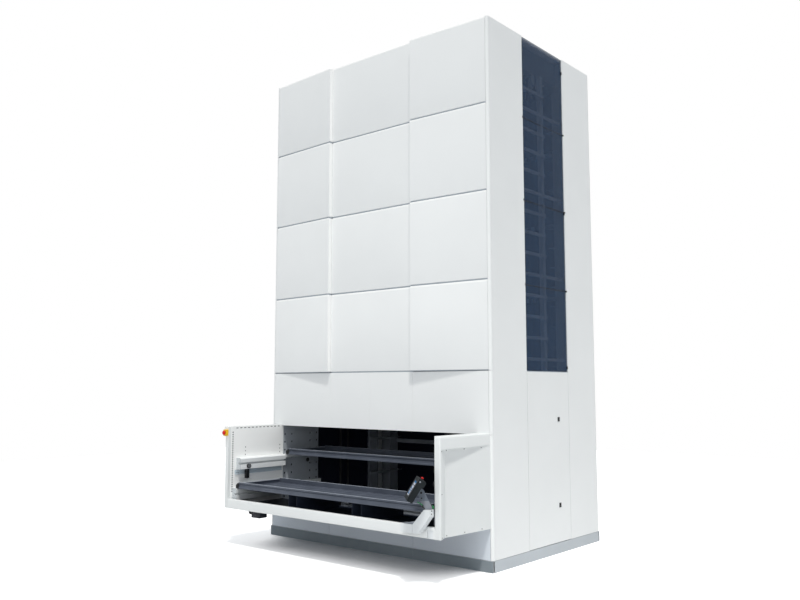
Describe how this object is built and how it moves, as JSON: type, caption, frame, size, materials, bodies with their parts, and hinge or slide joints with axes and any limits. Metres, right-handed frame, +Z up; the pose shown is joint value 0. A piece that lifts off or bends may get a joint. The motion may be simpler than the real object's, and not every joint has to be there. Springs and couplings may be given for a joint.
{
  "type": "vertical lift module",
  "caption": "Tall white automated storage tower with wedge-shaped front cladding, tinted side windows, an inner tray lift and an open external picking bay with sliding trays and a console.",
  "frame": {"origin": "centre of the tower's footprint on the floor, without the bay", "axes": "+X to the right seen from the front, +Y to the rear, +Z up"},
  "size_m": [3.804, 3.8565, 6.57],
  "materials": {
    "white_panel": "satin powder coat",
    "plinth_grey": "satin powder coat",
    "frame_grey": "satin powder coat",
    "galvanised": "galvanised sheet",
    "tray_grey": "satin blue-grey powder coat",
    "dark_sheet": "matt dark powder coat",
    "motor_black": "semi-gloss paint",
    "black_plastic": "moulded",
    "roller_grey": "moulded",
    "belt_black": "toothed belt",
    "tinted_pane": "smoked glazing",
    "stop_red": "glossy",
    "stop_yellow": "moulded",
    "console_charcoal": "fine moulded texture",
    "screen": "glossy display cover",
    "arm_grey": "satin powder coat"
  },
  "bodies": {
    "tower": {"roof_panels": "white_panel", "front_left_panels": "white_panel", "front_centre_panels": "white_panel", "front_right_panels": "white_panel", "header_panels": "white_panel", "lower_front_panels": "white_panel", "rear_panels": "white_panel", "left_side_panels": "white_panel", "right_side_panels": "white_panel", "corner_trims": "white_panel", "bay_left_shell": "white_panel", "bay_right_shell": "white_panel", "bay_side_covers": "white_panel", "bay_liners": "white_panel", "bay_apron": "white_panel", "apron_end": "white_panel", "upper_tray_rails": "white_panel", "lower_tray_rails": "white_panel", "console_bracket": "white_panel", "plinth_skirt": "plinth_grey", "front_uprights": "frame_grey", "rear_uprights": "frame_grey", "bay_zone_liners": "frame_grey", "side_rungs": "frame_grey", "top_frame": "frame_grey", "cladding_rails": "frame_grey", "electrical_cabinet": "frame_grey", "base_frame": "galvanised", "guide_posts": "galvanised", "tray_ledges": "galvanised", "door_pivots": "galvanised", "belt_bearings": "galvanised", "bay_floor": "dark_sheet", "lift_gearmotor": "motor_black", "bay_gearmotor": "motor_black", "window_clips": "black_plastic", "bay_screws": "black_plastic", "tray_sensors": "black_plastic", "lift_belts": "belt_black", "window_panes": "tinted_pane", "stop_box": "stop_yellow"},
    "service_door": {"service_door": "white_panel", "latch_bezels": "black_plastic"},
    "upper_latch": {"upper_latch": "black_plastic"},
    "lower_latch": {"lower_latch": "black_plastic"},
    "drive_shaft": {"drive_shaft": "galvanised"},
    "top_pulleys": {"top_pulleys": "galvanised"},
    "carriage": {"lift_carriage": "frame_grey"},
    "front_guide_rollers": {"front_guide_rollers": "roller_grey"},
    "rear_guide_rollers": {"rear_guide_rollers": "roller_grey"},
    "extractor": {"extractor": "galvanised"},
    "lower_tray": {"lower_tray": "tray_grey", "lower_tray_blocks": "black_plastic"},
    "upper_tray": {"upper_tray": "tray_grey", "upper_tray_blocks": "black_plastic"},
    "stop_button": {"stop_button": "stop_red"},
    "console_arm": {"console_arm": "arm_grey"},
    "console": {"console_housing": "console_charcoal", "console_screen": "screen"},
    "console_stop_button": {"console_stop_button": "stop_red"}
  },
  "joints": [
    {"name": "door_swing", "type": "hinge", "parent": "tower", "child": "service_door", "pos_m": [1.89, -0.496, 1.2], "axis": [0, 0, -1], "range_deg": [0, 110]},
    {"name": "upper_latch_turn", "type": "hinge", "parent": "service_door", "child": "upper_latch", "pos_m": [1.9, 0.24, 1.677], "axis": [-1, 0, 0], "range_deg": [0, 90]},
    {"name": "lower_latch_turn", "type": "hinge", "parent": "service_door", "child": "lower_latch", "pos_m": [1.9, 0.24, 0.594], "axis": [-1, 0, 0], "range_deg": [0, 90]},
    {"name": "lift_travel", "type": "slide", "parent": "tower", "child": "carriage", "axis": [0, 0, 1], "range_m": [-1.08, 3.78]},
    {"name": "drive_shaft_turn", "type": "hinge", "parent": "tower", "child": "drive_shaft", "pos_m": [0, 0, 0.3], "axis": [1, 0, 0], "range_deg": [-2710, 775]},
    {"name": "top_pulley_turn", "type": "hinge", "parent": "tower", "child": "top_pulleys", "pos_m": [0, 0, 6.142], "axis": [1, 0, 0], "range_deg": [-2710, 775]},
    {"name": "front_roller_turn", "type": "hinge", "parent": "carriage", "child": "front_guide_rollers", "pos_m": [0, 0.0537, 1.975], "axis": [1, 0, 0], "range_deg": [-5705, 1635]},
    {"name": "rear_roller_turn", "type": "hinge", "parent": "carriage", "child": "rear_guide_rollers", "pos_m": [0, 0.1903, 1.745], "axis": [1, 0, 0], "range_deg": [-1635, 5705]},
    {"name": "extractor_travel", "type": "slide", "parent": "carriage", "child": "extractor", "axis": [0, 1, 0], "range_m": [-0.28, 0.28]},
    {"name": "lower_tray_slide", "type": "slide", "parent": "tower", "child": "lower_tray", "axis": [0, 1, 0], "range_m": [0, 0.88]},
    {"name": "upper_tray_slide", "type": "slide", "parent": "tower", "child": "upper_tray", "axis": [0, -1, 0], "range_m": [0, 0.88]},
    {"name": "stop_press", "type": "slide", "parent": "tower", "child": "stop_button", "axis": [0, 1, 0], "range_m": [0, 0.006], "stiffness_N_per_m": 1500, "springref_m": -0.002},
    {"name": "console_swivel", "type": "hinge", "parent": "tower", "child": "console_arm", "pos_m": [1.759, -2.28, 0.805], "axis": [0, 0, 1], "range_deg": [-15, 75]},
    {"name": "console_tilt", "type": "hinge", "parent": "console_arm", "child": "console", "pos_m": [1.70031, -2.33869, 0.983], "axis": [0.7071, -0.7071, 0], "range_deg": [-15, 20]},
    {"name": "console_stop_press", "type": "slide", "parent": "console", "child": "console_stop_button", "axis": [-0.3747, -0.3747, -0.848], "range_m": [0, 0.006], "stiffness_N_per_m": 1500, "springref_m": -0.002}
  ],
  "couplings": [
    {"joint": "drive_shaft_turn", "follows": "lift_travel", "rad_per_m": -12.5},
    {"joint": "top_pulley_turn", "follows": "lift_travel", "rad_per_m": -12.5},
    {"joint": "front_roller_turn", "follows": "lift_travel", "rad_per_m": -26.316},
    {"joint": "rear_roller_turn", "follows": "lift_travel", "rad_per_m": 26.316}
  ]
}
